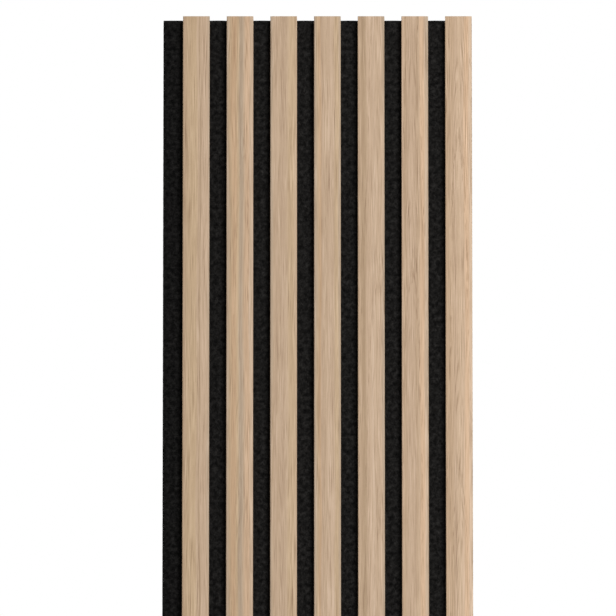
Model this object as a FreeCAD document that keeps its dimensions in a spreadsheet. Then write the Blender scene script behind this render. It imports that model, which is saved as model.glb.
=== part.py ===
import FreeCAD, Part
import enum
import math
import os

import Sketcher

# Acoustic slat wall panel: wrapped slats stapled side by side onto a felt board.
#
# Millimetres, +Z up along the slats, the wall on the +Y side and the room on the -Y side.
# The origin is the centre of the felt board's back face, the face that goes against the wall.
# Each slat starts at the felt's front face. A strip of bare felt is left beside the first slat,
# where the next panel's last slat comes up to it, and the last slat ends flush with the felt.

SIZES = {
    "panel_length": 2400,
    "felt_thickness": 9,
    "felt_margin": 19,  # bare strip beside the first slat
    "slat_count": 7,
    "slat_width": 26,
    "slat_gap": 16.5,
    "slat_thickness": 12,
    "slat_arris": 1,  # radius of the two front edges
    "staple_crown": 10,  # over both legs, along the slat
    "staple_wire_width": 1.2,
    "staple_wire_thickness": 0.6,
    "staple_sink": 0.3,  # from the felt's back face down to the crown
    "staple_cover": 5,  # slat left in front of the staples' tips
    "staple_clearance": 0.05,
    "staple_end": 150,  # from the panel's end to the first row
    "staple_spacing": 300,  # nearest whole number of rows to this
}

# Places and lengths that follow from the sizes, as expressions on the sheet's cells.
PITCH = "(sizes.slat_width + sizes.slat_gap)"
PANEL_WIDTH = f"(sizes.felt_margin + sizes.slat_count * {PITCH} - sizes.slat_gap)"
FIRST_SLAT = f"(sizes.felt_margin + sizes.slat_width / 2 - {PANEL_WIDTH} / 2)"
FIRST_STAPLE = "(sizes.staple_end - sizes.panel_length / 2)"
STAPLE_RUN = "(sizes.panel_length - 2 * sizes.staple_end)"
STAPLE_ROWS = f"(round({STAPLE_RUN} / sizes.staple_spacing) + 1)"
STAPLE_REACH = "(sizes.felt_thickness + sizes.slat_thickness - sizes.staple_cover)"



class EdgeEnd(enum.IntEnum):
    """How a sketch numbers the two ends of an edge."""

    START = 1
    END = 2


class SketchAxis(enum.IntEnum):
    """How a sketch numbers its own axes. The level one starts at the sketch's origin point."""

    LEVEL = -1
    UPRIGHT = -2


START, END = EdgeEnd
LEVEL_AXIS, UPRIGHT_AXIS = SketchAxis
ORIGIN_POINT = (LEVEL_AXIS, START)

doc = FreeCAD.newDocument("acoustic_slat_panel")


def make_sheet():
    """The driving dimensions, one alias for each."""
    sheet = doc.addObject("Spreadsheet::Sheet", "sizes")
    for row, (alias, value) in enumerate(SIZES.items(), start=1):
        sheet.set(f"A{row}", str(value))
        sheet.setAlias(f"A{row}", alias)
    doc.recompute()
    return sheet


def value(expression):
    """What an expression on the sheet comes to now."""
    return float(sizes.evalExpression(expression))


def bind(feature, **expressions):
    """Ties a feature's properties to expressions on the sheet."""
    for name, expression in expressions.items():
        feature.setExpression(name, expression)


def new_body(label):
    body = doc.addObject("PartDesign::Body", label)
    body.Label = label
    return body


def datum(body, role):
    """One of the body's own origin planes or axes."""
    return next(item for item in body.Origin.OriginFeatures if item.Role == role)


def new_sketch(body, name, plane):
    sketch = body.newObject("Sketcher::SketchObject", name)
    sketch.AttachmentSupport = (datum(body, plane), [""])
    sketch.MapMode = "FlatFace"
    return sketch


def dimension(sketch, name, expression, kind, *points):
    """A named dimension between points of the sketch, held by an expression."""
    index = sketch.addConstraint(Sketcher.Constraint(kind, *points, value(expression)))
    sketch.renameConstraint(index, name)
    sketch.setExpression(f"Constraints.{name}", expression)


def draw_outline(sketch, corners):
    """A closed outline of level and upright edges through the corners, in order."""
    points = [FreeCAD.Vector(across, up, 0) for across, up in corners]
    for start, end in zip(points, points[1:] + points[:1]):
        edge = sketch.addGeometry(Part.LineSegment(start, end))
        lies = "Horizontal" if start.y == end.y else "Vertical"
        sketch.addConstraint(Sketcher.Constraint(lies, edge))
    for edge in range(len(points)):
        following = (edge + 1) % len(points)
        sketch.addConstraint(Sketcher.Constraint("Coincident", edge, END, following, START))


def extrude(body, kind, name, sketch, length):
    """A pad or pocket of a sketch, to both sides of its plane alike."""
    feature = body.newObject(f"PartDesign::{kind}", name)
    feature.Profile = sketch
    feature.SideType = "Symmetric"
    bind(feature, Length=length)
    return feature


def repeat(body, name, feature, across_slats):
    """Copies of a feature up the panel, one for each row of staples, and from slat to slat."""
    doc.recompute()
    pattern = body.newObject("PartDesign::LinearPattern", name)
    pattern.Originals = [feature]
    pattern.Direction = (datum(body, "Z_Axis"), [""])
    bind(pattern, Length=STAPLE_RUN, Occurrences=STAPLE_ROWS)
    if across_slats:
        pattern.Direction2 = (datum(body, "X_Axis"), [""])
        bind(pattern, Length2=f"(sizes.slat_count - 1) * {PITCH}", Occurrences2="sizes.slat_count")
    body.Tip = pattern
    return pattern


def staple_profile(body, name, back_face, slat_centre, outer_face, room):
    """The staple seen from the side, on the YZ plane: its crown upright, its legs towards the room.

    back_face is where the felt's back face lies in the body, and slat_centre the first staple's place
    across it. outer_face is how deep the crown's outer face lies, and room is left all round the wire.
    """
    sketch = new_sketch(body, name, "YZ_Plane")
    crown = f"sizes.staple_crown + 2 * ({room})"
    wire = f"sizes.staple_wire_thickness + 2 * ({room})"
    seat = f"sizes.staple_sink + sizes.staple_wire_thickness + {room}"
    reach = f"{STAPLE_REACH} + {room}"
    outer, under, tip = value(outer_face), value(seat), value(reach)
    half = value(crown) / 2
    inner = half - value(wire)
    draw_outline(
        sketch,
        [
            (-outer, -half),
            (-outer, half),
            (-tip, half),
            (-tip, inner),
            (-under, inner),
            (-under, -inner),
            (-tip, -inner),
            (-tip, -half),
        ],
    )
    back, upper_tip, under_crown, lower_tip = 0, 2, 4, 6
    sketch.addConstraint(Sketcher.Constraint("Vertical", upper_tip, START, lower_tip, END))
    sketch.addConstraint(Sketcher.Constraint("Equal", upper_tip, lower_tip))
    dimension(sketch, "crown", crown, "DistanceY", back, START, back, END)
    dimension(sketch, "half_crown", f"({crown}) / 2", "DistanceY", *ORIGIN_POINT, back, END)
    dimension(sketch, "wire", wire, "DistanceY", upper_tip, END, upper_tip, START)
    dimension(sketch, "seat", seat, "DistanceX", under_crown, START, *ORIGIN_POINT)
    dimension(sketch, "reach", reach, "DistanceX", upper_tip, START, *ORIGIN_POINT)
    if outer:
        dimension(sketch, "outer_face", outer_face, "DistanceX", back, START, *ORIGIN_POINT)
    else:
        sketch.addConstraint(Sketcher.Constraint("PointOnObject", back, START, UPRIGHT_AXIS))
    sketch.setExpression("AttachmentOffset.Base.x", back_face)
    sketch.setExpression("AttachmentOffset.Base.y", FIRST_STAPLE)
    sketch.setExpression("AttachmentOffset.Base.z", slat_centre)
    return sketch


def cut_staple_seats(body, back_face, slat_centre, across_slats):
    """The slits that the staples' wire has made for itself, open at the felt's back face."""
    room = "sizes.staple_clearance"
    profile = staple_profile(body, body.Label + "_staple_seat", back_face, slat_centre, "0", room)
    slit = f"sizes.staple_wire_width + 2 * {room}"
    seat = extrude(body, "Pocket", body.Label + "_staple_slit", profile, slit)
    repeat(body, body.Label + "_staple_slits", seat, across_slats)


def make_felt():
    """The felt board, as wide as the whole panel, with its back face on the XZ plane."""
    body = new_body("felt_backing")
    section = new_sketch(body, "felt_section", "XY_Plane")
    half, depth = value(PANEL_WIDTH) / 2, value("sizes.felt_thickness")
    draw_outline(section, [(-half, -depth), (half, -depth), (half, 0), (-half, 0)])
    front, back = 0, 2
    section.addConstraint(Sketcher.Constraint("PointOnObject", back, START, LEVEL_AXIS))
    dimension(section, "width", PANEL_WIDTH, "DistanceX", front, START, front, END)
    dimension(section, "half_width", f"{PANEL_WIDTH} / 2", "DistanceX", *ORIGIN_POINT, back, START)
    dimension(section, "thickness", "sizes.felt_thickness", "DistanceY", front, END, back, START)
    extrude(body, "Pad", "felt_board", section, "sizes.panel_length")
    cut_staple_seats(body, "0", FIRST_SLAT, across_slats=True)


def slat_section(body):
    """A slat's cross-section: square at the felt, with the two front edges eased where the wrap turns."""
    sketch = new_sketch(body, body.Label + "_section", "XY_Plane")
    half = value("sizes.slat_width") / 2
    depth = value("sizes.slat_thickness")
    arris = value("sizes.slat_arris")
    quarter = math.pi / 2

    def line(x0, y0, x1, y1):
        return sketch.addGeometry(Part.LineSegment(FreeCAD.Vector(x0, y0, 0), FreeCAD.Vector(x1, y1, 0)))

    def arc(x, y, quarters):
        circle = Part.Circle(FreeCAD.Vector(x, y, 0), FreeCAD.Vector(0, 0, 1), arris)
        return sketch.addGeometry(Part.ArcOfCircle(circle, quarters * quarter, (quarters + 1) * quarter))

    back = line(-half, 0, half, 0)
    right = line(half, 0, half, arris - depth)
    right_arris = arc(half - arris, arris - depth, 3)
    front = line(half - arris, -depth, arris - half, -depth)
    left_arris = arc(arris - half, arris - depth, 2)
    left = line(-half, arris - depth, -half, 0)
    rules = [
        ("Vertical", right),
        ("Horizontal", front),
        ("Vertical", left),
        ("Coincident", back, END, right, START),
        ("Tangent", right, END, right_arris, END),
        ("Tangent", right_arris, START, front, START),
        ("Tangent", front, END, left_arris, END),
        ("Tangent", left_arris, START, left, START),
        ("Coincident", left, END, back, START),
        ("Equal", right_arris, left_arris),
        ("Symmetric", back, START, back, END, UPRIGHT_AXIS),
        ("PointOnObject", back, START, LEVEL_AXIS),
    ]
    for rule in rules:
        sketch.addConstraint(Sketcher.Constraint(*rule))
    dimension(sketch, "width", "sizes.slat_width", "DistanceX", back, START, back, END)
    dimension(sketch, "thickness", "sizes.slat_thickness", "DistanceY", front, START, back, END)
    dimension(sketch, "arris", "sizes.slat_arris", "Radius", right_arris)
    return sketch


def make_slat(number):
    """One slat. Its own origin is the middle of its back face, which lies on the felt's front face."""
    body = new_body(f"slat_{number}")
    extrude(body, "Pad", f"slat_{number}_bar", slat_section(body), "sizes.panel_length")
    cut_staple_seats(body, "sizes.felt_thickness", "0", across_slats=False)
    body.setExpression("Placement.Base.x", f"{FIRST_SLAT} + {number - 1} * {PITCH}")
    body.setExpression("Placement.Base.y", "-sizes.felt_thickness")


def make_staples():
    """The staples, driven from behind through the felt into the middle of each slat."""
    body = new_body("staples")
    body.AllowCompound = True
    profile = staple_profile(body, "staple_wire", "0", FIRST_SLAT, "sizes.staple_sink", "0")
    staple = extrude(body, "Pad", "staple", profile, "sizes.staple_wire_width")
    repeat(body, "staple_rows", staple, across_slats=True)


def check_document():
    """Stops the build if any object failed to recompute or a sub-part isn't a sound solid."""
    for item in doc.Objects:
        if {"Invalid", "Error"} & set(item.State):
            raise RuntimeError(f"{item.Label} failed: {item.State}")
    for body in bodies():
        if body.Shape.isNull() or not body.Shape.isValid() or not body.Shape.Solids:
            raise RuntimeError(f"{body.Label} has no sound solid")


def bodies():
    return doc.findObjects("PartDesign::Body")


sizes = make_sheet()
make_felt()
for slat_number in range(1, int(sizes.slat_count) + 1):
    make_slat(slat_number)
make_staples()
doc.recompute()
check_document()

os.makedirs("parts", exist_ok=True)
for body in bodies():
    body.Shape.exportStep(f"parts/{body.Label}.step")
    box = body.Shape.BoundBox
    print(
        f"{body.Label}: {len(body.Shape.Solids)} solid(s), {body.Shape.Volume:.1f} mm3, "
        f"x {box.XMin:.2f} to {box.XMax:.2f}, y {box.YMin:.2f} to {box.YMax:.2f}, "
        f"z {box.ZMin:.2f} to {box.ZMax:.2f}"
    )
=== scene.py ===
# %% [markdown]
# # An acoustic slat panel
# The object is a long wall panel: pale oak-look slats fixed side by side on a dark felt board. The solids
# come from CAD as a fixed frame, and this lesson dresses them. Every length below is in metres, in the
# same frame as the solids: +Z runs up the slats, the slats face -Y, and the felt's back lies at y = 0.

# %% Load the solids as a fixed frame
import math

import bpy
import numpy as np
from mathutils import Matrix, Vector


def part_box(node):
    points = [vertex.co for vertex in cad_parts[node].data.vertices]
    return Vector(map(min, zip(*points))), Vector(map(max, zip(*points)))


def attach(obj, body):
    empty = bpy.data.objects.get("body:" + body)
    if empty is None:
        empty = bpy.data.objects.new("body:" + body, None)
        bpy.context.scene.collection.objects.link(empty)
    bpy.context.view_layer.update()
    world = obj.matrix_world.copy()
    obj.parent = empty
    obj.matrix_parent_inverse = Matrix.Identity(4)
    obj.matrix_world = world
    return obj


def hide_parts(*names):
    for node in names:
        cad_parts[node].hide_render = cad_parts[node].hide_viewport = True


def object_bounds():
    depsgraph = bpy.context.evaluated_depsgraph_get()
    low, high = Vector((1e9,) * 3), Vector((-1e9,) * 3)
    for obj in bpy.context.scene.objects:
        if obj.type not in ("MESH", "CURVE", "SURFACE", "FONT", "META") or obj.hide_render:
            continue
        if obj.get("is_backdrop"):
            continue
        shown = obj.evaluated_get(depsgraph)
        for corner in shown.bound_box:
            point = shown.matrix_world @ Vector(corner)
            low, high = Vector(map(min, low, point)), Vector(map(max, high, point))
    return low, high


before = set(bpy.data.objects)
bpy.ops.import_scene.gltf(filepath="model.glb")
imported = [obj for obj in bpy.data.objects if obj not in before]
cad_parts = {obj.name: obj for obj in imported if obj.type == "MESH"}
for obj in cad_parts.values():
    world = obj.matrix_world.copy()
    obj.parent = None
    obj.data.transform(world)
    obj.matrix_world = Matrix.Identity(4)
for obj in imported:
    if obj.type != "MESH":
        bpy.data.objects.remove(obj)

cad_low, cad_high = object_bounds()
print("CAD box, in metres:", list(cad_low), list(cad_high))

# %% [markdown]
# ## The sizes that everything else follows
# Sizes that are typed twice soon differ. So the slats' places, the felt's faces and the staples' box are
# read from the frame, and only what boxes can't tell is written below, where it is needed.

# %% Read the sizes from the solids
MM = 0.001

slat_names = sorted(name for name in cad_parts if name.startswith("slat_"))
slat_low = np.array([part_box(name)[0] for name in slat_names])
slat_high = np.array([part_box(name)[1] for name in slat_names])
slat_centres = (slat_low[:, 0] + slat_high[:, 0]) / 2
slat_width = slat_high[0, 0] - slat_low[0, 0]
slat_front, slat_back = slat_low[0, 1], slat_high[0, 1]
slat_thickness = slat_back - slat_front
felt_low, felt_high = (np.array(corner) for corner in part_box("felt_backing"))
bottom, top = felt_low[2], felt_high[2]
print(f"{len(slat_names)} slats, {slat_width / MM:.1f} mm wide and {slat_thickness / MM:.1f} mm thick")

# %% [markdown]
# ## The camera
# In the photograph the sides of the slats stay out of sight and their edges run parallel, so the camera
# is far away with a very long lens. The slat tops stand a little above the felt's top edge, which says
# that it looks up from below: the height they gain is the slat's thickness times the sine of that angle.
# A camera could be turned by eye until it fits, but worked out from a few places it fits at once. The
# rows and columns below count the pixels of a square picture.

# %% Work out the camera from four places in the picture
PICTURE_SIDE = 616
FELT_LEFT_COLUMN, SLAT_RIGHT_COLUMN = 162.9, 472.4
SLAT_TOP_ROW, FELT_TOP_ROW = 16.2, 20.6
CAMERA_DISTANCE = 25.0
NEAREST_SEEN, FARTHEST_SEEN = 1.0, 100.0
SENSOR_WIDTH = 36.0

pixel = (cad_high.x - cad_low.x) / (SLAT_RIGHT_COLUMN - FELT_LEFT_COLUMN)
look_up = math.asin((FELT_TOP_ROW - SLAT_TOP_ROW) * pixel / slat_thickness)
rise = (PICTURE_SIDE / 2 - SLAT_TOP_ROW) * pixel
below_top = rise * CAMERA_DISTANCE / (CAMERA_DISTANCE * math.cos(look_up) - rise * math.sin(look_up))
aside = (PICTURE_SIDE - FELT_LEFT_COLUMN - SLAT_RIGHT_COLUMN) / 2 * pixel
target = Vector((aside, slat_front, top - below_top))
sight = Vector((0, math.cos(look_up), math.sin(look_up)))

camera = bpy.data.objects.new("camera", bpy.data.cameras.new("camera"))
bpy.context.scene.collection.objects.link(camera)
camera.location = target - sight * CAMERA_DISTANCE
camera.rotation_mode = "QUATERNION"
camera.rotation_quaternion = sight.to_track_quat("-Z", "Y")
camera.data.sensor_width = SENSOR_WIDTH
camera.data.lens = SENSOR_WIDTH * CAMERA_DISTANCE / (PICTURE_SIDE * pixel)
camera.data.clip_start, camera.data.clip_end = NEAREST_SEEN, FARTHEST_SEEN
bpy.context.scene.camera = camera
print(f"looks up by {math.degrees(look_up):.1f} degrees through a lens of {camera.data.lens:.0f} mm")

# %% [markdown]
# ## Nodes written as formulas
# Blender describes light and finishes as trees of nodes. Linked by hand they soon fill the screen, and in a
# script each node takes several lines. So a new node comes back as a Term here: a sign between two terms
# adds one Math node, and a tree then reads like the sum that it works out.

# %% Helpers that build node trees
class Term:
    """A node, read through one of its outputs. Each sign or operation adds one Math node."""

    def __init__(self, node, output=0):
        self.node, self.output = node, output
        self.tree = node.id_data

    def __getitem__(self, output):
        return Term(self.node, output)

    def calculate(self, operation, *others):
        """What a Math node makes of this term and the others."""
        terms = dict(enumerate((self, *others)))
        return add_node(self.tree, "ShaderNodeMath", terms, operation=operation)

    def __add__(self, other):
        return self.calculate("ADD", other)

    def __sub__(self, other):
        return self.calculate("SUBTRACT", other)

    def __mul__(self, other):
        return self.calculate("MULTIPLY", other)

    def __truediv__(self, other):
        return self.calculate("DIVIDE", other)


def add_node(tree, kind, inputs=None, **settings):
    """A new node with its settings made, as a term of its first output. Inputs are values or terms."""
    node = tree.nodes.new(kind)
    for name, value in settings.items():
        setattr(node, name, value)
    for key, value in (inputs or {}).items():
        if isinstance(value, Term):
            tree.links.new(value.node.outputs[value.output], node.inputs[key])
        else:
            node.inputs[key].default_value = value
    return Term(node)


def empty_tree(owner):
    """The node tree of a material or world, with nothing in it."""
    owner.use_nodes = True
    owner.node_tree.nodes.clear()
    return owner.node_tree


# %% [markdown]
# ## Light and background
# One large soft lamp stands to the right, in front of the panel: it throws the short shadow that lies on
# the felt at the left of each slat. Two smaller ones, at the side and behind, keep the edges and the back
# readable, and the world fills the rest. The background has to be white without more light on the wood, so
# the world looks white only to the camera and to reflections.

# %% The world: white to look at, a soft grey light to be lit by
WHITE = (1, 1, 1, 1)
FILL_LIGHT = 0.16


def seen_directly(tree):
    """1 for rays from the camera and for those that gloss or glass sends on, and 0 for diffuse light."""
    path = add_node(tree, "ShaderNodeLightPath")
    seen = path["Is Camera Ray"].calculate("MAXIMUM", path["Is Glossy Ray"])
    return seen.calculate("MAXIMUM", path["Is Transmission Ray"])


world = bpy.data.worlds.new("studio")
bpy.context.scene.world = world
bpy.context.scene.view_settings.view_transform = "Standard"
world_tree = empty_tree(world)
white = add_node(world_tree, "ShaderNodeBackground", {"Color": WHITE, "Strength": 1.0})
grey = add_node(world_tree, "ShaderNodeBackground", {"Color": WHITE, "Strength": FILL_LIGHT})
mixed = add_node(world_tree, "ShaderNodeMixShader", {0: seen_directly(world_tree), 1: grey, 2: white})
add_node(world_tree, "ShaderNodeOutputWorld", {"Surface": mixed})
print("world fill light", FILL_LIGHT)

# %% The lamps
LAMP_AIM = Vector((0, 0, 0.42))


def add_lamp(name, turn, lift, distance, width, height, watts):
    """A rectangular lamp aimed at the panel, a little above its middle.

    turn is the angle from straight in front towards the right, and lift the angle above level, in degrees.
    """
    turn, lift = math.radians(turn), math.radians(lift)
    towards = Vector((math.sin(turn) * math.cos(lift), -math.cos(turn) * math.cos(lift), math.sin(lift)))
    lamp = bpy.data.objects.new(name, bpy.data.lights.new(name, "AREA"))
    bpy.context.scene.collection.objects.link(lamp)
    lamp.data.shape = "RECTANGLE"
    lamp.data.size, lamp.data.size_y = width, height
    lamp.data.energy = watts
    lamp.location = LAMP_AIM + towards * distance
    lamp.rotation_mode = "QUATERNION"
    lamp.rotation_quaternion = towards.to_track_quat("Z", "Y")
    lamp.visible_camera = False
    print(name, "at", [round(part, 2) for part in lamp.location])


add_lamp("key_lamp", turn=17, lift=18, distance=6.0, width=2.2, height=4.2, watts=340)
add_lamp("side_lamp", turn=100, lift=8, distance=3.0, width=1.2, height=3.0, watts=45)
add_lamp("back_lamp", turn=215, lift=15, distance=3.0, width=1.6, height=3.0, watts=90)

# %% [markdown]
# ## From arrays to meshes
# All shapes below are surfaces on a grid: a whole array of points worked out at once from two parameters.
# These helpers number the grid's faces and put points, faces and texture places into a mesh in one go,
# which is both shorter and much quicker than adding vertices one by one.

# %% Number the faces of a grid
def grid_faces(rows, columns, closed=False):
    """Faces of a grid whose points are numbered row by row. Closed joins the last column to the first."""
    number = np.arange(rows * columns).reshape(rows, columns)
    if closed:
        number = np.concatenate([number, number[:, :1]], axis=1)
    corners = [number[:-1, :-1], number[:-1, 1:], number[1:, 1:], number[1:, :-1]]
    return np.stack(corners, axis=-1).reshape(-1, 4)


# %% Put points, faces and texture places into a mesh
def new_mesh_object(
    name, points, face_groups, materials, texture_places=None, map_name="wrap", sharp_degrees=None
):
    """A mesh object from an array of points and groups of faces, one array and one material for each group.

    texture_places holds one place for each corner of each face, in the order of the faces.
    """
    mesh = bpy.data.meshes.new(name)
    points = np.asarray(points, np.float32).reshape(-1, 3)
    sizes = np.concatenate([np.full(len(faces), faces.shape[1]) for faces in face_groups])
    starts = np.concatenate([[0], np.cumsum(sizes)[:-1]])
    corners = np.concatenate([faces.ravel() for faces in face_groups])
    group_numbers = np.repeat(np.arange(len(face_groups)), [len(faces) for faces in face_groups])
    mesh.vertices.add(len(points))
    mesh.vertices.foreach_set("co", points.ravel())
    mesh.loops.add(len(corners))
    mesh.loops.foreach_set("vertex_index", corners.astype(np.int32))
    mesh.polygons.add(len(sizes))
    mesh.polygons.foreach_set("loop_start", starts.astype(np.int32))
    mesh.polygons.foreach_set("material_index", group_numbers.astype(np.int32))
    mesh.polygons.foreach_set("use_smooth", np.ones(len(sizes), bool))
    for material in materials:
        mesh.materials.append(material)
    if texture_places is not None:
        layer = mesh.uv_layers.new(name=map_name)
        layer.data.foreach_set("uv", np.asarray(texture_places, np.float32).ravel())
    mesh.update(calc_edges=True)
    mesh.validate()
    if sharp_degrees is not None:
        mesh.set_sharp_from_angle(angle=math.radians(sharp_degrees))
    piece = bpy.data.objects.new(name, mesh)
    bpy.context.scene.collection.objects.link(piece)
    print(name, "has", len(points), "points and", int((sizes - 2).sum()), "triangles")
    return piece


# %% Attach a piece to the panel
def dress(piece, slot, *replaced):
    """Lets a piece ride with the panel and hides the solids that it stands for. slot, its finish's name, is
    not used.
    """
    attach(piece, "root")
    if replaced:
        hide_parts(*replaced)


# %% [markdown]
# ## The floor
# The panel stands on a pale floor that takes its shadow. A large plane would end in a hard line against the
# white background, so the floor is a disc that fades out towards its rim. Seen from below it is clear, so
# it never hides the panel's lower end.

# %% Helpers that finishes share
def new_material(name):
    """A material and its tree, with nothing in it yet."""
    material = bpy.data.materials.new(name)
    return material, empty_tree(material)


def object_place(tree):
    """The place on the object, in metres."""
    return add_node(tree, "ShaderNodeTexCoord")["Object"]


def components(vector):
    """The X, Y and Z of a vector."""
    parts = add_node(vector.tree, "ShaderNodeSeparateXYZ", {0: vector})
    return [parts[axis] for axis in "XYZ"]


def ease(value, low, high, start, end, curve="SMOOTHSTEP"):
    """Goes from start to end while value goes from low to high, and slows down at both ends unless linear."""
    inputs = {"Value": value, "From Min": low, "From Max": high, "To Min": start, "To Max": end}
    return add_node(value.tree, "ShaderNodeMapRange", inputs, interpolation_type=curve)


def noise_at(place, scale, detail, roughness=0.5):
    """Noise between 0 and 1, with scale as the number of its blotches in one unit of length."""
    inputs = {"Vector": place, "Scale": scale, "Detail": detail, "Roughness": roughness}
    return add_node(place.tree, "ShaderNodeTexNoise", inputs)


# %% Paint for the floor
FLOOR_RADIUS, FLOOR_FADES_FROM = 2.0, 0.7
FLOOR_TONE, FLOOR_SPECKLE = 0.86, 0.04
SPECKLES_PER_METRE = 60.0
FLOOR_GLOW = 0.1


def make_floor_paint():
    """Pale and matt. Its cover eases from 1 to 0 with the distance from the middle, and is 0 from below."""
    material, tree = new_material("pale_floor")
    place = object_place(tree)
    speckle = noise_at(place, SPECKLES_PER_METRE, detail=4.0)
    x, y, _ = components(place)
    from_middle = (x * x + y * y).calculate("SQRT")
    sockets = {
        "Base Color": speckle * FLOOR_SPECKLE + FLOOR_TONE,
        "Roughness": 0.9,
        "Specular IOR Level": 0.0,
        "Alpha": ease(from_middle, FLOOR_FADES_FROM, FLOOR_RADIUS, 1.0, 0.0),
        "Emission Color": WHITE,
        "Emission Strength": seen_directly(tree) * FLOOR_GLOW,
    }
    paint = add_node(tree, "ShaderNodeBsdfPrincipled", sockets)
    from_below = add_node(tree, "ShaderNodeNewGeometry")["Backfacing"]
    clear = add_node(tree, "ShaderNodeBsdfTransparent")
    one_sided = add_node(tree, "ShaderNodeMixShader", {0: from_below, 1: paint, 2: clear})
    add_node(tree, "ShaderNodeOutputMaterial", {"Surface": one_sided})
    return material


# %% Lay the floor: rings of points round the panel's foot
FLOOR_MIDDLE = 0.04
FLOOR_RINGS, FLOOR_SPOKES = 12, 96

ring, spoke = np.meshgrid(
    np.linspace(FLOOR_MIDDLE, FLOOR_RADIUS, FLOOR_RINGS),
    np.linspace(0, 2 * math.pi, FLOOR_SPOKES, endpoint=False),
    indexing="ij",
)
floor_points = np.stack([ring * np.cos(spoke), ring * np.sin(spoke), np.full_like(ring, bottom)], axis=-1)
floor_rings = grid_faces(FLOOR_RINGS, FLOOR_SPOKES, closed=True)[:, ::-1]
floor_middle = np.arange(FLOOR_SPOKES)[None, :]
floor_paint = make_floor_paint()
floor = new_mesh_object("floor", floor_points, [floor_rings, floor_middle], [floor_paint, floor_paint])
floor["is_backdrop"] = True

# %% [markdown]
# ## The figure of oak
# Oak shows three things at arm's length: growth rings cut lengthwise, as long lines or as nested arches,
# fine fibres, and short dark pores. A picture of a board would show them too, but every slat would show the
# same. So they are worked out from noise, in one node group that each slat uses with a board of its own:
# another seed, and another place of the log's pith. The rings lie as on a real log: at the distance from
# the pith's line, divided by the width of a ring.

# %% Start a node group
def new_group(name, numbers, outputs):
    """A node group that will put out numbers, and the term of the place and numbers it is given."""
    group = bpy.data.node_groups.new(name, "ShaderNodeTree")
    group.interface.new_socket(name="Place", in_out="INPUT", socket_type="NodeSocketVector")
    for label in numbers:
        group.interface.new_socket(name=label, in_out="INPUT", socket_type="NodeSocketFloat")
    for label in outputs:
        group.interface.new_socket(name=label, in_out="OUTPUT", socket_type="NodeSocketFloat")
    return group, add_node(group, "NodeGroupInput")


# %% The noises of the figure
# A step on the board's seed, the width and length of the blotches in mm, the detail, and any roughness
NOISES = {
    "sway": (0, 26, 190, 2),
    "taper": (3.7, 60, 380, 0),
    "fading": (8.1, 9, 70, 2),
    "arches": (6.8, 12, 70, 1),
    "bands": (1.3, 3.4, 260, 2),
    "clouds": (2.6, 12, 80, 2),
    "fibres": (5.9, 0.62, 44, 1.5, 0.55),
    "patches": (4.4, 7, 55, 1),
    "hairs": (6.5, 0.16, 11, 1),
    "lines": (7.2, 2.8, 170, 1),
    "pores": (9.4, 0.5, 14, 1),
}
NOISE_MIDDLE = 0.5


def stretched_noise(across, along, seed, width, length, detail, roughness=0.5):
    """Noise between 0 and 1, in blotches of that width across the grain and that length along it."""
    shares = {"X": across / width, "Y": along / length, "Z": seed}
    return noise_at(add_node(across.tree, "ShaderNodeCombineXYZ", shares), 1.0, detail, roughness)


def board_noise(name, across, along, seed):
    """One noise of the list above, on the board with that seed."""
    step, *shape = NOISES[name]
    return stretched_noise(across, along, seed + step, *shape)


# %% Growth rings, from the distance to the pith
# Each mask of the figure is a range to ease over: from low to high, and the value at each
TAPER = 7.0
LATE_WOOD_DARKENS = (0.35, 0.9, 0.0, 1.0)
LATE_WOOD_ENDS = (0.9, 1.0, 1.0, 0.0)
RING_FADES = (0.3, 0.65, 0.15, 1.0)
FAINTEST_RING = 0.2


def growth_rings(noise, across, along, given):
    """The dark late wood of the rings, each point's share of its ring, its place aside and its radius.

    The radius is the root of two squares: how far aside of the pith, and how deep under the face the pith
    lies, which changes along the board. Divided by the width of a ring it counts the rings.
    """
    depth = along * given["Pith Slope"] + given["Pith Depth"] + (noise("taper") - NOISE_MIDDLE) * TAPER
    aside = across - given["Pith Across"]
    radius = (aside * aside + depth * depth).calculate("SQRT")
    turns = radius / given["Ring Width"]
    share = turns.calculate("FRACT")
    number = {"W": turns.calculate("FLOOR")}
    strength = add_node(across.tree, "ShaderNodeTexWhiteNoise", number, noise_dimensions="1D")
    late_wood = ease(share, *LATE_WOOD_DARKENS) * ease(share, *LATE_WOOD_ENDS)
    late_wood = late_wood * (strength * (1 - FAINTEST_RING) + FAINTEST_RING)
    return late_wood * ease(noise("fading"), *RING_FADES), share, aside, radius


# %% Arches nested along the crown
ARCH_SPACING, LINE_SHARE = 0.5, 0.5
ARCH_LINE = (0.06, 0.3, 1.0, 0.0)
ARCH_PATCHES = (0.5, 0.62, 0.0, 1.0)
ARCHES_START = (0.03, 0.11, 0.0, 1.0)
ARCHES_END = (0.22, 0.42, 1.0, 0.0)
RINGS_AT_CROWN = (0.06, 0.3, 0.15, 1.0)


def nested_arches(noise, aside, radius):
    """Thin lines of equal radius on both sides of the crown, and the share of the rings left there.

    The crown is the line right above the pith. How far a point is from it is the place aside over the
    radius. A line runs at the same share of every spacing.
    """
    from_crown = aside.calculate("ABSOLUTE") / radius
    from_line = ((radius / ARCH_SPACING).calculate("FRACT") - LINE_SHARE).calculate("ABSOLUTE")
    arches = ease(from_line, *ARCH_LINE) * ease(noise("arches"), *ARCH_PATCHES)
    arches = arches * ease(from_crown, *ARCHES_START) * ease(from_crown, *ARCHES_END)
    return arches, ease(from_crown, *RINGS_AT_CROWN)


# %% Fine lines and pores
LINE_WIDTH = (0.0, 0.06, 1.0, 0.0)
LINE_PATCHES = (0.38, 0.62, 0.0, 1.0)
PORE_DASHES = (0.5, 0.62, 0.0, 1.0)
PORES_IN_RING = (0.02, 0.3, 1.0, 0.15)


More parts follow.
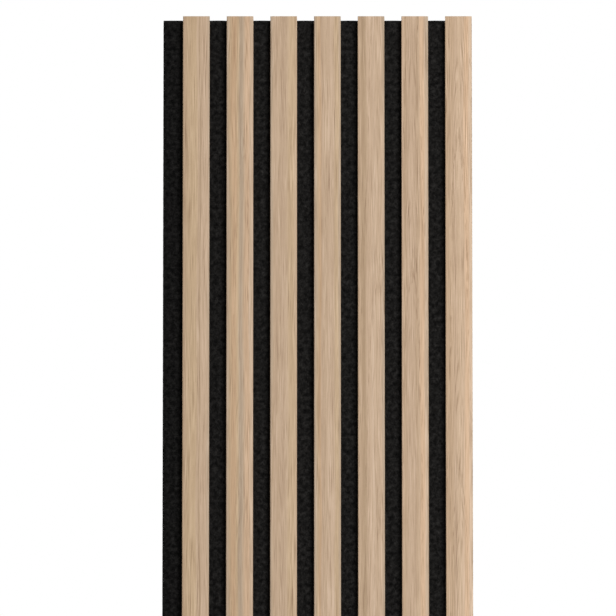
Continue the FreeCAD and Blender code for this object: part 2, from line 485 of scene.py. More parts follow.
def fine_lines(noise, clouds):
    """Lines where a noise passes through its middle, in the paler clouds only."""
    from_line = (noise("lines") - NOISE_MIDDLE).calculate("ABSOLUTE")
    return ease(from_line, *LINE_WIDTH) * ease(clouds, *LINE_PATCHES)


def short_pores(noise, ring_share):
    """Dashes along the grain, most of them in the early wood at the start of a ring."""
    return ease(noise("pores"), *PORE_DASHES) * ease(ring_share, *PORES_IN_RING)


# %% Put the figure together
FIGURE_NUMBERS = (
    "Seed", "Pith Across", "Pith Depth", "Pith Slope", "Ring Width",
    "Ring Strength", "Pore Strength", "Arch Strength",
)
FIGURE_OUTPUTS = ("Tone", "Pores", "Fibres", "Wandering Across")
SWAY = 5.0
MIDDLE_TONE = 0.5
BANDS, CLOUDS, HAIRS, LINES = 0.3, 0.26, 0.42, 0.17
FIBRE_PATCHES = (0.36, 0.66, 0.45, 1.7)


def make_oak_figure():
    """Puts out the wood's tone, its pores, its fibres and a place across that wanders with the grain.

    The tone is its middle, plus how far each noise is from its own, less the lines, arches, rings and pores.
    """
    group, given = new_group("oak figure", FIGURE_NUMBERS, FIGURE_OUTPUTS)
    straight, along, _ = components(given["Place"])
    sway = board_noise("sway", straight, along, given["Seed"])
    across = straight + (sway - NOISE_MIDDLE) * SWAY

    def noise(name):
        return board_noise(name, across, along, given["Seed"])

    late_wood, ring_share, aside, radius = growth_rings(noise, across, along, given)
    arches, rings_left = nested_arches(noise, aside, radius)
    clouds, fibres = noise("clouds"), noise("fibres")
    pores = short_pores(noise, ring_share)
    tone = (noise("bands") - NOISE_MIDDLE) * BANDS + MIDDLE_TONE
    tone = tone + (clouds - NOISE_MIDDLE) * CLOUDS + (noise("hairs") - NOISE_MIDDLE) * HAIRS
    tone = tone + (fibres - NOISE_MIDDLE) * ease(noise("patches"), *FIBRE_PATCHES)
    tone = tone - fine_lines(noise, clouds) * LINES - arches * given["Arch Strength"]
    tone = tone - late_wood * rings_left * given["Ring Strength"] - pores * given["Pore Strength"]
    add_node(group, "NodeGroupOutput", dict(zip(FIGURE_OUTPUTS, (tone, pores, fibres, across))))
    return group


oak_figure = make_oak_figure()
print("oak figure has", len(oak_figure.nodes), "nodes")

# %% [markdown]
# ## The oak wrap
# The slats are wrapped in a matt oak-look film: straw-beige, with long streaks that differ from slat to
# slat. One material with random numbers would be shorter, but streaks are best chosen one by one. So each
# slat has a material of its own, with the same figure group and a short list of streaks: where across the
# slat, from 0 at the left edge to 1 at the right, and in which tint. The figure follows the film round the
# edges, so it reads the slat's own texture places.

# %% Tints of the streaks, as factors on the wood's own colour
PLAIN = (1.00, 1.00, 1.00)
PALE = (1.04, 1.04, 1.06)
CREAM = (1.10, 1.13, 1.19)
PEACH = (1.12, 1.07, 1.03)
STRAW = (1.04, 1.04, 0.97)
WHEAT = (0.98, 0.97, 0.90)
HONEY = (1.02, 0.95, 0.86)
SAND = (0.95, 0.94, 0.95)
FAWN = (0.91, 0.89, 0.86)
BROWN = (0.83, 0.81, 0.76)
GREY = (0.86, 0.90, 0.95)
SLATE = (0.78, 0.81, 0.83)
ASH = (0.94, 0.98, 1.03)

# %% The board that each slat was cut from
# The columns are the figure's numbers, in the order of FIGURE_NUMBERS
BOARDS = {
    "slat_1": (11, 16, 12, 0.016, 4.2, 0.16, 0.15, 0.08),
    "slat_2": (27, 2, 9, 0.014, 4.6, 0.20, 0.18, 0.11),
    "slat_3": (43, -6, 12, 0.015, 5.0, 0.18, 0.15, 0.10),
    "slat_4": (58, 34, 18, 0.014, 4.8, 0.16, 0.16, 0.07),
    "slat_5": (76, 8, 10, 0.012, 4.4, 0.16, 0.24, 0.18),
    "slat_6": (92, -3, 8, 0.014, 4.0, 0.26, 0.32, 0.26),
    "slat_7": (105, 1, 7, 0.013, 4.0, 0.20, 0.36, 0.24),
}
# Each slat's colour factor: partly its board's own tone, partly painted light that brightens the slats from
# left to right
BOARD_TONE_AND_PAINTED_LIGHT = dict(zip(BOARDS, (0.925, 0.935, 0.948, 0.945, 0.975, 1.02, 1.07)))
STREAKS = {
    "slat_1": [(0.03, FAWN), (0.18, WHEAT), (0.34, STRAW), (0.48, STRAW), (0.59, PALE), (0.64, BROWN),
               (0.69, PALE), (0.9, PALE), (0.98, ASH)],
    "slat_2": [(0.04, ASH), (0.14, WHEAT), (0.24, HONEY), (0.33, HONEY), (0.42, STRAW), (0.5, GREY),
               (0.54, SLATE), (0.59, GREY), (0.65, PLAIN), (0.72, PEACH), (0.83, PEACH), (0.9, CREAM),
               (0.97, CREAM)],
    "slat_3": [(0.03, GREY), (0.13, PLAIN), (0.22, SAND), (0.32, PLAIN), (0.42, SAND), (0.5, SAND),
               (0.6, PLAIN), (0.74, STRAW), (0.87, STRAW), (0.98, PALE)],
    "slat_4": [(0.05, ASH), (0.14, STRAW), (0.22, HONEY), (0.31, SAND), (0.42, PLAIN), (0.56, PALE),
               (0.73, PALE), (0.8, WHEAT), (0.88, STRAW), (0.97, ASH)],
    "slat_5": [(0.04, PLAIN), (0.13, FAWN), (0.21, BROWN), (0.27, BROWN), (0.37, PALE), (0.5, PALE),
               (0.57, CREAM), (0.65, PALE), (0.72, PLAIN), (0.85, PALE), (0.98, GREY)],
    "slat_6": [(0.04, PALE), (0.12, FAWN), (0.22, SAND), (0.5, SAND), (0.58, FAWN), (0.65, PLAIN),
               (0.72, PEACH), (0.83, PEACH), (0.9, CREAM), (0.99, GREY)],
    # slat_7's last step, brown at 1.0, is painted shade along its rounded right edge
    "slat_7": [(0.05, FAWN), (0.2, FAWN), (0.36, SAND), (0.5, PLAIN), (0.66, PALE), (0.74, PEACH),
               (0.83, PEACH), (0.91, CREAM), (0.96, CREAM), (1.0, BROWN)],
}

# %% Helpers that colour a finish
def colour_steps(value, steps, interpolation="LINEAR"):
    """A colour that changes with a value, through (place, colour) steps."""
    colours = add_node(value.tree, "ShaderNodeValToRGB", {0: value})
    ramp = colours.node.color_ramp
    ramp.interpolation = interpolation
    while len(ramp.elements) < len(steps):
        ramp.elements.new(0.5)
    for element, (place, colour) in zip(ramp.elements, steps):
        element.position = place
        element.color = (*colour, 1)
    return colours


def scaled(vector, factor):
    """A place or a colour, times one number."""
    inputs = {0: vector, "Scale": factor}
    return add_node(vector.tree, "ShaderNodeVectorMath", inputs, operation="SCALE")


def give_surface(material, sockets):
    """Ends a material's tree with a shader that has these sockets set or linked."""
    shader = add_node(material.node_tree, "ShaderNodeBsdfPrincipled", sockets)
    add_node(material.node_tree, "ShaderNodeOutputMaterial", {"Surface": shader})
    return material


# %% Make the wrap of each slat
OAK_TONES = [
    (0.0, (0.27, 0.166, 0.093)),
    (0.3, (0.435, 0.299, 0.188)),
    (0.52, (0.535, 0.381, 0.251)),
    (0.8, (0.635, 0.47, 0.33)),
]
TINT_SCALE = 0.5
SLAT_MIDDLE = 0.5
ROUGHNESS, FIBRE_ROUGHNESS = 0.46, 0.16
GRAIN_RELIEF = 0.06 * MM


def make_oak_wrap(name):
    """The figure's tone made a colour, times the tint of the streak there, with relief along the fibres.

    A ramp holds colours up to 1 only, so the tints go through it at half strength.
    """
    material, tree = new_material(f"oak_wrap_{name}")
    place = scaled(add_node(tree, "ShaderNodeUVMap", uv_map="wrap"), 1 / MM)
    numbers = dict(zip(FIGURE_NUMBERS, BOARDS[name]))
    figure = add_node(tree, "ShaderNodeGroup", {"Place": place, **numbers}, node_tree=oak_figure)
    wood = colour_steps(figure["Tone"], OAK_TONES)
    share = figure["Wandering Across"] * (MM / slat_width) + SLAT_MIDDLE
    # The tints carry that factor, so painted light rising from left to right is in the wood's colour
    strength = TINT_SCALE * BOARD_TONE_AND_PAINTED_LIGHT[name]
    tints = [(where, tuple(strength * part for part in tint)) for where, tint in STREAKS[name]]
    tint = scaled(colour_steps(share, tints, "EASE"), 1 / TINT_SCALE)
    fibres = figure["Fibres"]
    relief = {"Height": fibres - figure["Pores"], "Strength": 0.25, "Distance": GRAIN_RELIEF}
    sockets = {
        "Base Color": add_node(tree, "ShaderNodeVectorMath", {0: wood, 1: tint}, operation="MULTIPLY"),
        "Roughness": fibres * FIBRE_ROUGHNESS + ROUGHNESS,
        "Normal": add_node(tree, "ShaderNodeBump", relief),
        "Specular IOR Level": 0.25,
    }
    return give_surface(material, sockets)


oak_wraps = {name: make_oak_wrap(name) for name in slat_names}
print(len(oak_wraps), "oak wraps")

# %% [markdown]
# ## A tangle of fibres
# Fibreboard and felt are both mats of fibres that lie in all directions. Noise alone would give clouds, not
# fibres. Noise that is stretched one way gives fibres of that direction, so the group below lays several such
# noises over each other, each turned by another angle, and the brightest one shows.

# %% The tangle: fibres that lie in all directions
TANGLE_NUMBERS = ("Fibre Width", "Fibre Length", "Clump Size")
TANGLE_DIRECTIONS = (0.0, 37.0, 79.0, 118.0, 152.0)
TANGLE_AXIS = (0.25, 1.0, 0.15)
BEND_LENGTH, BEND_SWING = 3.0, 1.2
FIBRE_EDGE = (0.5, 0.78, 0.0, 1.0)


def make_tangle():
    """Puts out loose fibres from 0 to 1, brightest along their middles, and soft clumps from 0 to 1.

    For each direction the place is turned and bent aside by a soft noise, and then read by a noise that is as
    wide and long as a fibre. The fibres are the greatest of all directions.
    """
    group, given = new_group("fibre tangle", TANGLE_NUMBERS, ("Fibres", "Clumps"))
    width, length = given["Fibre Width"], given["Fibre Length"]
    fibres = None
    for turn in TANGLE_DIRECTIONS:
        angle = {"Vector": given["Place"], "Axis": TANGLE_AXIS, "Angle": math.radians(turn)}
        turned = add_node(group, "ShaderNodeVectorRotate", angle, rotation_type="AXIS_ANGLE")
        x, y, z = components(turned)
        bent = stretched_noise(x, z, turn, BEND_LENGTH, BEND_LENGTH, detail=0.0) * BEND_SWING + x
        layer = stretched_noise(bent, z, y / length + turn, width, length, detail=0.0)
        layer = ease(layer, *FIBRE_EDGE)
        fibres = layer if fibres is None else fibres.calculate("MAXIMUM", layer)
    inputs = {0: given["Place"], 1: given["Clump Size"]}
    clump_place = add_node(group, "ShaderNodeVectorMath", inputs, operation="DIVIDE")
    clumps = noise_at(clump_place, 1.0, detail=3.0, roughness=0.6)
    add_node(group, "NodeGroupOutput", {"Fibres": fibres, "Clumps": clumps})
    return group


tangle = make_tangle()
print("fibre tangle has", len(tangle.nodes), "nodes")

# %% [markdown]
# ## The sawn ends
# At the top and the bottom the slat is sawn across, and the wood-fibre core shows inside the thin wrap. It is
# a duller, denser brown than the face, with a mat of tiny fibres. One even brown would look like plastic from
# near by, so the tangle group gives it both fibres and clumps.

# %% Make the fibreboard core
CORE_TONES = [(0.15, (0.235, 0.148, 0.083)), (0.85, (0.45, 0.325, 0.212))]
CORE_TANGLE = {"Fibre Width": 0.12, "Fibre Length": 1.4, "Clump Size": 1.6}
CORE_FIBRES, CORE_CLUMPS = 0.35, 0.8
CORE_RELIEF = 0.1 * MM


def make_core():
    """Fibres and clumps, added up to one tone between two browns."""
    material, tree = new_material("fibreboard_core")
    inputs = {"Place": scaled(object_place(tree), 1 / MM), **CORE_TANGLE}
    mat = add_node(tree, "ShaderNodeGroup", inputs, node_tree=tangle)
    tone = mat["Fibres"] * CORE_FIBRES + mat["Clumps"] * CORE_CLUMPS
    relief = {"Height": tone, "Strength": 0.4, "Distance": CORE_RELIEF}
    sockets = {
        "Base Color": colour_steps(tone, CORE_TONES),
        "Roughness": 0.85,
        "Specular IOR Level": 0.1,
        "Normal": add_node(tree, "ShaderNodeBump", relief),
    }
    return give_surface(material, sockets)


core = make_core()
print("core made:", core.name)

# %% [markdown]
# ## The slats
# A slat is one cross-section carried straight up. Its two front edges are eased by a small radius, where
# the film was folded round. A box with a bevel would give the shape too, but not the way the film lies on it.
# Here the texture place of a point is its distance round the section from the middle of the front, and its
# height, so the grain runs over the edges and down the sides without a break.

# %% Cross-section of a slat
ARRIS_RADIUS = 1.0 * MM
ARRIS_STEPS = 8


def slat_section():
    """Points round a slat, from its back left corner: the left side, the front, the right side.

    Each eased edge is a quarter circle: centre plus radius times cosine and sine of an angle.
    """
    half = slat_width / 2
    angle = np.linspace(0, math.pi / 2, ARRIS_STEPS + 1)
    inner = half - ARRIS_RADIUS
    level = slat_front + ARRIS_RADIUS
    left = np.stack([-inner - ARRIS_RADIUS * np.cos(angle), level - ARRIS_RADIUS * np.sin(angle)], axis=1)
    right = np.stack([inner + ARRIS_RADIUS * np.sin(angle), level - ARRIS_RADIUS * np.cos(angle)], axis=1)
    return np.concatenate([[(-half, slat_back)], left, right, [(half, slat_back)]])


section = slat_section()
section_steps = np.linalg.norm(np.diff(section, axis=0), axis=1)
round_section = np.concatenate([[0], np.cumsum(section_steps)])
round_section -= round_section[-1] / 2
print(f"the wrap is {(round_section[-1] - round_section[0]) / MM:.1f} mm wide")

# %% Faces of a slat
SLAT_RINGS = 33


def slat_faces(count):
    """Faces of the wrap and of the bare back, both with their part of the end rims, and of the sawn ends."""
    walls = grid_faces(SLAT_RINGS, count, closed=True).reshape(SLAT_RINGS - 1, count, 4)
    ring = np.arange(count)
    after = np.roll(ring, -1)
    last = (SLAT_RINGS - 1) * count
    inner_low, inner_high = SLAT_RINGS * count, (SLAT_RINGS + 1) * count
    low_rim = np.stack([after, ring, ring + inner_low, after + inner_low], axis=1)
    high_rim = np.stack([ring + last, after + last, after + inner_high, ring + inner_high], axis=1)
    film = np.concatenate([walls[:, :-1].reshape(-1, 4), low_rim[:-1], high_rim[:-1]])
    bare = np.concatenate([walls[:, -1], low_rim[-1:], high_rim[-1:]])
    caps = np.stack([(ring + inner_low)[::-1], ring + inner_high])
    return film, bare, caps


# %% Carry the section up and close the ends
WRAP_THICKNESS = 0.25 * MM


def carried_up(outline, centre, heights):
    """The points of an outline, moved across to a slat's centre and repeated at every height."""
    points = np.empty((len(heights), len(outline), 3))
    points[..., 0] = outline[:, 0] + centre
    points[..., 1] = outline[:, 1]
    points[..., 2] = heights[:, None]
    return points.reshape(-1, 3)


def make_slat(name, centre):
    """The section at every height, then a smaller copy of it at each end, inside the wrap's thickness.

    The smaller copy is the section shrunk towards its middle, by twice the wrap over the width and thickness.
    """
    heights = np.linspace(bottom, top, SLAT_RINGS)
    ends = np.array([bottom, top])
    middle = np.array([0, (slat_front + slat_back) / 2])
    shrink = 1 - WRAP_THICKNESS / (np.array([slat_width, slat_thickness]) / 2)
    inside = middle + (section - middle) * shrink
    points = np.concatenate([carried_up(section, centre, heights), carried_up(inside, centre, ends)])
    faces = slat_faces(len(section))
    corners = np.concatenate([group.ravel() for group in faces])
    around = np.tile(round_section, SLAT_RINGS + len(ends))
    places = np.stack([around[corners], points[corners, 2]], axis=1)
    materials = [oak_wraps[name], core, core]
    piece = new_mesh_object(f"wrapped_{name}", points, faces, materials, places, sharp_degrees=40)
    dress(piece, "oak_slat", name)


for slat_name, slat_centre in zip(slat_names, slat_centres):
    make_slat(slat_name, slat_centre)

# %% [markdown]
# ## The felt board
# Felt is soft: under a slat it is pressed flat, between two slats it swells a little, and at the back each
# staple pulls a dimple into it. A displaced box would need an even, very fine grid for that. So the felt is a
# section carried up again, but every point of it moves in or out by an amount that depends on where it is,
# and the grid is fine only where that changes quickly.

# %% Where the grid's columns and rows lie
STAPLE_ROWS = 8
STAPLE_CROWN = 10.0 * MM
ASIDE_OF_STAPLE = np.array([1.2, 3, 5, 8]) * MM
PAST_STAPLE = np.array([1.5, 3, 4.2, 5.2, 6.5, 8.5, 11, 14]) * MM
GAP_STEPS = 5
ROW_SPACING = 8.0 * MM
DIGITS = 7

staple_low, staple_high = (np.array(corner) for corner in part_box("staples"))
first_row, last_row = staple_low[2] + STAPLE_CROWN / 2, staple_high[2] - STAPLE_CROWN / 2
staple_heights = np.linspace(first_row, last_row, STAPLE_ROWS)
gap_lefts = np.concatenate([[felt_low[0]], slat_high[:-1, 0]])
gap_rights = slat_low[:, 0]
in_gaps = np.linspace(gap_lefts, gap_rights, GAP_STEPS + 1, axis=1)[:, :-1]
half_slat = np.append(ASIDE_OF_STAPLE, slat_width / 2)
under_slats = slat_centres[:, None] + np.concatenate([-half_slat, half_slat])
columns = np.unique(np.concatenate([in_gaps.ravel(), under_slats.ravel()]).round(DIGITS))
near_rows = (staple_heights[:, None] + np.concatenate([-PAST_STAPLE, PAST_STAPLE])).ravel()
even_rows = np.arange(bottom, top, ROW_SPACING)
even_rows = even_rows[np.abs(even_rows[:, None] - staple_heights).min(axis=1) > PAST_STAPLE[-1]]
rows = np.unique(np.concatenate([even_rows, near_rows, [bottom, top]]).round(DIGITS))
print(len(columns), "columns and", len(rows), "rows")

# %% How far the surface moves
DIMPLE_REACH = 3.0 * MM
WAVES = 48
SHORTEST_WAVE, LONGEST_WAVE = 5, 34

draw = np.random.default_rng(seed=4)
wave_turn = draw.uniform(0, math.pi, WAVES)
wave_number = 2 * math.pi / (draw.uniform(SHORTEST_WAVE, LONGEST_WAVE, WAVES) * MM)
wave_start = draw.uniform(0, 2 * math.pi, WAVES)


def unevenness(across, up):
    """A sum of cosine waves of random direction, length and start, mostly from -1 to 1."""
    along = across[..., None] * np.cos(wave_turn) + up[..., None] * np.sin(wave_turn)
    return np.cos(along * wave_number + wave_start).sum(axis=-1) / math.sqrt(WAVES)


def openness(across):
    """0 under the slats, rising as a half sine wave to 1 in the middle of each gap."""
    share = (across[..., None] - gap_lefts) / (gap_rights - gap_lefts)
    inside = (share > 0) & (share < 1)
    return np.where(inside, np.sin(math.pi * np.clip(share, 0, 1)), 0).sum(axis=-1)


def dimples(across, up):
    """Bell curves across each row of staples times bell curves up it, flat along each staple's crown."""
    aside = across[..., None] - slat_centres
    past = np.maximum(np.abs(up[..., None] - staple_heights) - STAPLE_CROWN / 2, 0)
    bell = np.exp(-((aside / DIMPLE_REACH) ** 2)).sum(axis=-1)
    return bell * np.exp(-((past / DIMPLE_REACH) ** 2)).sum(axis=-1)


# %% Carry the felt's section up, point by point
SWELL = 0.35 * MM
UNEVEN = 0.12 * MM
BACK_UNEVEN = 0.06 * MM
DIMPLE_DEPTH = 0.88 * MM
EDGE_HOLLOW = 0.05 * MM
EDGE_STEPS = 4
EDGE_STRETCH = 9
MEAN_HOLLOW = 1.5
WAVES_ASIDE = 1.0


def felt_surface():
    """Rings of points: along the front from left to right, the right edge, the back, the left edge.

    The front swells by openness times swell and unevenness. The back sinks by the dimples, and by the size
    of the waves a metre aside. An edge is hollow by a half sine wave from front to back, more or less deep.
    """
    across, up = np.meshgrid(columns, rows)
    swelling = openness(across) * (SWELL + UNEVEN * unevenness(across, up))
    front = np.stack([across, felt_low[1] - swelling, up], axis=-1)
    sinking = DIMPLE_DEPTH * dimples(across, up) + BACK_UNEVEN * np.abs(unevenness(across + WAVES_ASIDE, up))
    back = np.stack([across, felt_high[1] - sinking, up], axis=-1)
    share = np.linspace(0, 1, EDGE_STEPS + 1)[1:-1, None, None]
    hollow = EDGE_HOLLOW * np.sin(math.pi * share[..., 0])

    def edge(column, outwards):
        wall = front[:, column] * (1 - share) + back[:, column] * share
        waves = unevenness(wall[..., 1] * EDGE_STRETCH, wall[..., 2])
        wall[..., 0] -= outwards * hollow * (MEAN_HOLLOW + waves)
        return np.moveaxis(wall, 0, 1)

    return np.concatenate([front, edge(-1, 1), back[:, ::-1], edge(0, -1)[:, ::-1]], axis=1)


felt_points = felt_surface()
felt_round = felt_points.shape[1]
print(len(felt_points), "rings of", felt_round, "points")

# %% Number the felt's faces and close its cut ends
felt_walls = grid_faces(len(rows), felt_round, closed=True)
in_front = np.arange(len(columns))
behind = len(columns) + EDGE_STEPS - 1 + in_front[::-1]
end_face = np.stack([in_front[:-1], in_front[1:], behind[1:], behind[:-1]], axis=1)
right_edge = np.arange(len(columns) - 1, len(columns) + EDGE_STEPS)[None, :]
left_edge = np.append(np.arange(2 * len(columns) + EDGE_STEPS - 2, felt_round), 0)[None, :]
last_ring = (len(rows) - 1) * felt_round
felt_faces = [felt_walls]
for part in (end_face, right_edge, left_edge):
    felt_faces += [part[:, ::-1], part + last_ring]
print(sum(len(faces) for faces in felt_faces), "faces")

# %% [markdown]
# ## The felt's finish
# Needled felt is a tangle of charcoal fibres: nearly black, with paler fibres on top and soft clumps a few
# millimetres wide. It has no gloss at all, only a faint sheen seen edge-on. A flat black would swallow its
# shape, so the tangle group makes its tone and its relief. Painted shade darkens it towards the left edge.

# %% Make the felt
FELT_TONES = [
    (0.12, (0.0018, 0.0018, 0.0018)),
    (0.5, (0.0077, 0.0074, 0.0071)),
    (1.0, (0.0262, 0.025, 0.024)),
]
FELT_TANGLE = {"Fibre Width": 0.35, "Fibre Length": 5.0, "Clump Size": 4.6}
CLUMP_SHARE, CLUMP_BASE = 1.6, 0.45
# Painted shade: the felt's colour is scaled from 0.7 at its left edge up to 1.06, over the reach below
FELT_PAINTED_SHADE = (0.7, 1.06)
PAINTED_SHADE_REACH = 90 * MM
FELT_RELIEF = 0.5 * MM


def make_felt(name, fibre_share):
    """Clumps and fibres to a charcoal tone. fibre_share says how pale the fibres are."""
    material, tree = new_material(name)
    place = scaled(object_place(tree), 1 / MM)
    fluff = add_node(tree, "ShaderNodeGroup", {"Place": place, **FELT_TANGLE}, node_tree=tangle)
    tone = fluff["Clumps"] * CLUMP_SHARE - CLUMP_BASE + fluff["Fibres"] * fibre_share
    across = components(place)[0]
    # Painted shade: the colour is darker towards the felt's left edge, where less light falls
    painted_shade = ease(across, felt_low[0] / MM, (felt_low[0] + PAINTED_SHADE_REACH) / MM, *FELT_PAINTED_SHADE)
    relief = {"Height": tone, "Strength": 0.6, "Distance": FELT_RELIEF}
    sockets = {
        "Base Color": scaled(colour_steps(tone, FELT_TONES), painted_shade),
        "Roughness": 0.95,
        "Specular IOR Level": 0.0,
        "Sheen Weight": 0.02,
        "Sheen Roughness": 0.6,
        "Normal": add_node(tree, "ShaderNodeBump", relief),
    }
    return give_surface(material, sockets)


felt_cloth = make_felt("charcoal_felt", fibre_share=0.38)
felt_materials = [felt_cloth] * len(felt_faces)
felt_board = new_mesh_object("felt_board", felt_points, felt_faces, felt_materials, sharp_degrees=50)
dress(felt_board, "felt", "felt_backing")

# %% [markdown]
# ## Loose fibres
# What makes felt look like felt from near by is the fuzz that stands off it. Hair particles would show it
# in Blender only, so each fibre here is a thin closed spindle of six faces: two tips, and between them a
# small triangle that is bent aside and lifted off the cloth. They are strewn evenly over the bare strips,
# the back and the cut edges, from fixed seeds. A hair is narrower than a pixel of any picture laid over
# the whole cloth, so the fibres carry a map of their own, with one cell for each.

# %% Strew points over flat patches
def strewn_points(corners, sides_a, sides_b, count, draw):
    """Points spread evenly over several patches, and the number of each point's patch.

    A patch is drawn by its area, and a point of it is its corner plus a random share of each of its sides.
    """
    areas = np.linalg.norm(np.cross(sides_a, sides_b), axis=1)
    patch = draw.choice(len(areas), size=count, p=areas / areas.sum())
    share_a, share_b = draw.uniform(size=(2, count, 1))
    return corners[patch] + sides_a[patch] * share_a + sides_b[patch] * share_b, patch


# %% Shape a spindle at each point
FIBRE_WIDTH = 0.11 * MM
SHORTEST_HALF, LONGEST_HALF = 1.2 * MM, 3.6 * MM
FIBRE_BEND = 0.35
LIFT_LIMIT = 3
CORNERS = 3
TIP_A, TIP_B = CORNERS, CORNERS + 1
FACES_AT_A = [(1, 0, TIP_A), (2, 1, TIP_A), (0, 2, TIP_A)]
FACES_AT_B = [(0, 1, TIP_B), (1, 2, TIP_B), (2, 0, TIP_B)]
SPINDLE_FACES = np.array(FACES_AT_A + FACES_AT_B)


def fibre_spindles(points, unit_a, normals, draw, lift):
    """For each point three corners round the fibre's middle and its two tips.

    The middle is the point plus a bend aside and a lift; its corners lie on a circle round it. The tips are
    the point plus and minus half the length, one of them on the cloth and the other lifted by a share.
    """
    count = len(points)
    turn = draw.uniform(0, 2 * math.pi, (count, 1))
    along = unit_a * np.cos(turn) + np.cross(normals, unit_a) * np.sin(turn)
    aside = np.cross(normals, along)
    half = draw.uniform(SHORTEST_HALF, LONGEST_HALF, (count, 1))
    height = draw.exponential(lift, (count, 1)).clip(0, LIFT_LIMIT * lift)
    middle = points + aside * draw.normal(0, FIBRE_BEND, (count, 1)) * half + normals * height
    angle = draw.uniform(0, 2 * math.pi, (count, 1)) + np.arange(CORNERS) * 2 * math.pi / CORNERS
    angle = angle[..., None]
    circle = aside[:, None] * np.cos(angle) + normals[:, None] * np.sin(angle)
    corners = middle[:, None] + circle * FIBRE_WIDTH / 2
    tip_a = points - along * half
    tip_b = points + along * half + normals * height * draw.uniform(0, 1, (count, 1))
    return np.concatenate([corners, tip_a[:, None], tip_b[:, None]], axis=1)


# %% Give each fibre a cell of the map
FIBRE_MAP = "OFBake"
CELL_LOW, CELL_MIDDLE, CELL_HIGH = 0.1, 0.5, 0.9


def fibre_cells(count):
    """One cell of a square grid for each fibre: its six faces unrolled side by side, tips left and right."""
    side = math.ceil(math.sqrt(count))
    level = [(CELL_MIDDLE, height) for height in np.linspace(CELL_LOW, CELL_HIGH, CORNERS + 1)]
    left = [[upper, lower, (CELL_LOW, CELL_MIDDLE)] for lower, upper in zip(level, level[1:])]
    right = [[lower, upper, (CELL_HIGH, CELL_MIDDLE)] for lower, upper in zip(level, level[1:])]
    cell = np.stack([np.arange(count) % side, np.arange(count) // side], axis=1)
    return (cell[:, None, None] + np.array(left + right)) / side


# %% Put the spindles into one mesh
def make_fuzz(name, patches, count, seed, lift, margin=0.0):
    """One mesh of all the fibres over a set of patches. A fibre that sticks out of its patch is moved back.

    A patch is a corner, two sides and the way it faces. margin is how far fibres keep from its sides in X.
    """
    draw = np.random.default_rng(seed=seed)
    corners, sides_a, sides_b, normals = (np.array(part, float) for part in zip(*patches))
    points, patch = strewn_points(corners, sides_a, sides_b, count, draw)
    unit_a = sides_a / np.linalg.norm(sides_a, axis=1, keepdims=True)
    outward = normals[patch]
    fibres = fibre_spindles(points, unit_a[patch], outward, draw, lift)
    reach = np.abs(outward) * LIFT_LIMIT * lift - np.array([margin, 0, 0]) * (outward[:, :1] == 0)
    low = corners[patch] - reach
    high = (corners + sides_a + sides_b)[patch] + reach
    shift = np.maximum(low - fibres.min(axis=1), 0) + np.minimum(high - fibres.max(axis=1), 0)
    fibres += shift[:, None]
    faces = (np.arange(count)[:, None, None] * fibres.shape[1] + SPINDLE_FACES).reshape(-1, 3)
    fuzz = new_mesh_object(name, fibres, [faces], [fuzz_cloth], fibre_cells(count), map_name=FIBRE_MAP)
    dress(fuzz, "felt")


# %% Strew the fuzz over the strips, the back and the edges
FRONT_FIBRES, BACK_FIBRES, EDGE_FIBRES = 33000, 32000, 12000
FRONT_LIFT, BACK_LIFT, EDGE_LIFT = 0.4 * MM, 0.15 * MM, 0.06 * MM
WALL_CLEARANCE = 0.15 * MM

fuzz_cloth = make_felt("felt_fuzz", fibre_share=0.55)
width, depth, length = felt_high - felt_low
left, front, back, right = felt_low[0], felt_low[1], felt_high[1], felt_high[0]
strips = [
    ((gap_left, front - SWELL / 2, bottom), (gap_right - gap_left, 0, 0), (0, 0, length), (0, -1, 0))
    for gap_left, gap_right in zip(gap_lefts, gap_rights)
]
make_fuzz("fuzz_front", strips, FRONT_FIBRES, seed=21, lift=FRONT_LIFT, margin=WALL_CLEARANCE)
back_patch = [((left, back, bottom), (width, 0, 0), (0, 0, length), (0, 1, 0))]
make_fuzz("fuzz_back", back_patch, BACK_FIBRES, seed=22, lift=BACK_LIFT)
cut_edges = [
    ((left, front, bottom), (0, depth, 0), (0, 0, length), (-1, 0, 0)),
    ((right, front, bottom), (0, depth, 0), (0, 0, length), (1, 0, 0)),
    ((left, front, top), (width, 0, 0), (0, depth, 0), (0, 0, 1)),
    ((left, front, bottom), (width, 0, 0), (0, depth, 0), (0, 0, -1)),
]
make_fuzz("fuzz_edges", cut_edges, EDGE_FIBRES, seed=23, lift=EDGE_LIFT)

# %% [markdown]
# ## The staples
# Each slat hangs on a row of wire staples, driven in from behind. Only their crowns show, sunk in the felt.
# A staple is flat wire bent twice. A curve with a round bevel would make it round wire, so one small section
# with cut corners is carried along a path of straight runs and two quarter turns. The wire is galvanised.
# An even metal would look wet, so one fine noise changes both its grey and its roughness, as spangles do.

# %% Path and section of the wire
WIRE_WIDTH = staple_high[0] - staple_low[0] - (slat_centres[-1] - slat_centres[0])
WIRE_THICKNESS = 0.6 * MM
WIRE_CORNER = 0.15 * MM
LEG_STEP = 1.5 * MM
BEND_RADIUS = 0.9 * MM
BEND_STEPS = 6


def staple_path():
    """Stations in the YZ plane and the outward direction at each: a leg, a bend, the crown, a bend, a leg.

    A bend is a quarter circle: its centre plus radius times sine and cosine of an angle.
    """
    back, tip = staple_high[1] - WIRE_THICKNESS / 2, staple_low[1]
    half = (STAPLE_CROWN - WIRE_THICKNESS) / 2
    angle = np.linspace(0, math.pi / 2, BEND_STEPS + 1)
    bend_out = np.stack([np.sin(angle), np.cos(angle)], axis=1)
    bend = np.array([back, half]) - BEND_RADIUS + BEND_RADIUS * bend_out
    upper = np.concatenate([[(tip, half), (tip + LEG_STEP, half)], bend])
    upper_out = np.concatenate([[(0, 1), (0, 1)], bend_out])
    mirror = np.array([1, -1])
    return [np.concatenate([part, part[::-1] * mirror]) for part in (upper, upper_out)]


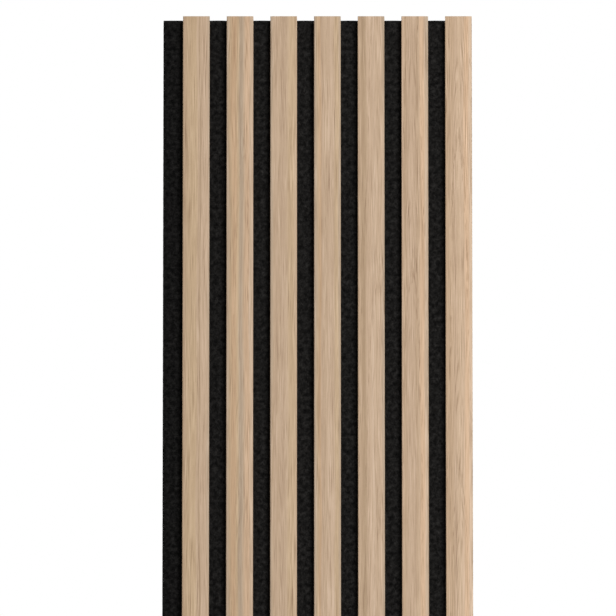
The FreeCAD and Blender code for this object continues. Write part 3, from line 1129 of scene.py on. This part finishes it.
def wire_section():
    """A rectangle with cut corners: places across the wire's width and through its thickness."""
    wide, thick, cut = WIRE_WIDTH / 2, WIRE_THICKNESS / 2, WIRE_CORNER
    half = np.array([(wide, cut - thick), (wide, thick - cut), (wide - cut, thick), (cut - wide, thick)])
    return np.concatenate([half, -half])


# %% All the staples in one mesh
def make_staples(material):
    """One staple's surface, repeated at every slat's middle and every row: its points plus each place.

    A point of the surface is a station of the path, plus the section's thickness along the outward direction.
    """
    path, outward = staple_path()
    wire = wire_section()
    stations, around = len(path), len(wire)
    staple = np.empty((stations, around, 3))
    staple[..., 0] = wire[:, 0]
    staple[..., 1:] = path[:, None] + outward[:, None] * wire[:, 1][None, :, None]
    across, up = (part.ravel() for part in np.meshgrid(slat_centres, staple_heights))
    places = np.stack([across, np.zeros_like(across), up], axis=1)
    points = places[:, None, None] + staple
    first = np.arange(len(places))[:, None, None] * (stations * around)
    walls = (grid_faces(stations, around, closed=True)[:, ::-1] + first).reshape(-1, 4)
    ring = np.arange(around)
    ends = np.stack([ring, ring[::-1] + (stations - 1) * around])
    ends = (ends[None] + first).reshape(-1, around)
    piece = new_mesh_object("staple_wires", points, [walls, ends], [material, material], sharp_degrees=50)
    dress(piece, "staple_wire", "staples")


# %% Make the galvanised wire
ZINC_TONES = [(0.3, (0.13, 0.133, 0.14)), (0.7, (0.36, 0.367, 0.375))]
ZINC_ROUGHNESS = (0.2, 0.8, 0.28, 0.5)
SPANGLES_PER_METRE = 900.0


def make_zinc():
    """Metal whose grey and roughness both follow one fine noise."""
    material, tree = new_material("galvanised_wire")
    spangle = noise_at(object_place(tree), SPANGLES_PER_METRE, detail=3.0)
    sockets = {
        "Base Color": colour_steps(spangle, ZINC_TONES),
        "Metallic": 1.0,
        "Roughness": ease(spangle, *ZINC_ROUGHNESS, curve="LINEAR"),
    }
    return give_surface(material, sockets)


make_staples(make_zinc())

# %% [markdown]
# ## The size of the dressed panel
# The dressed panel is built to stand proud of the solids by its fuzz only. So its box is printed here, to set
# beside the CAD box that is printed at the start.

# %% Print the visual box
low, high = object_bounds()
boxes = {"cad": [list(cad_low), list(cad_high)], "visual": [list(low), list(high)]}
print("visual box, in metres:", boxes["visual"])
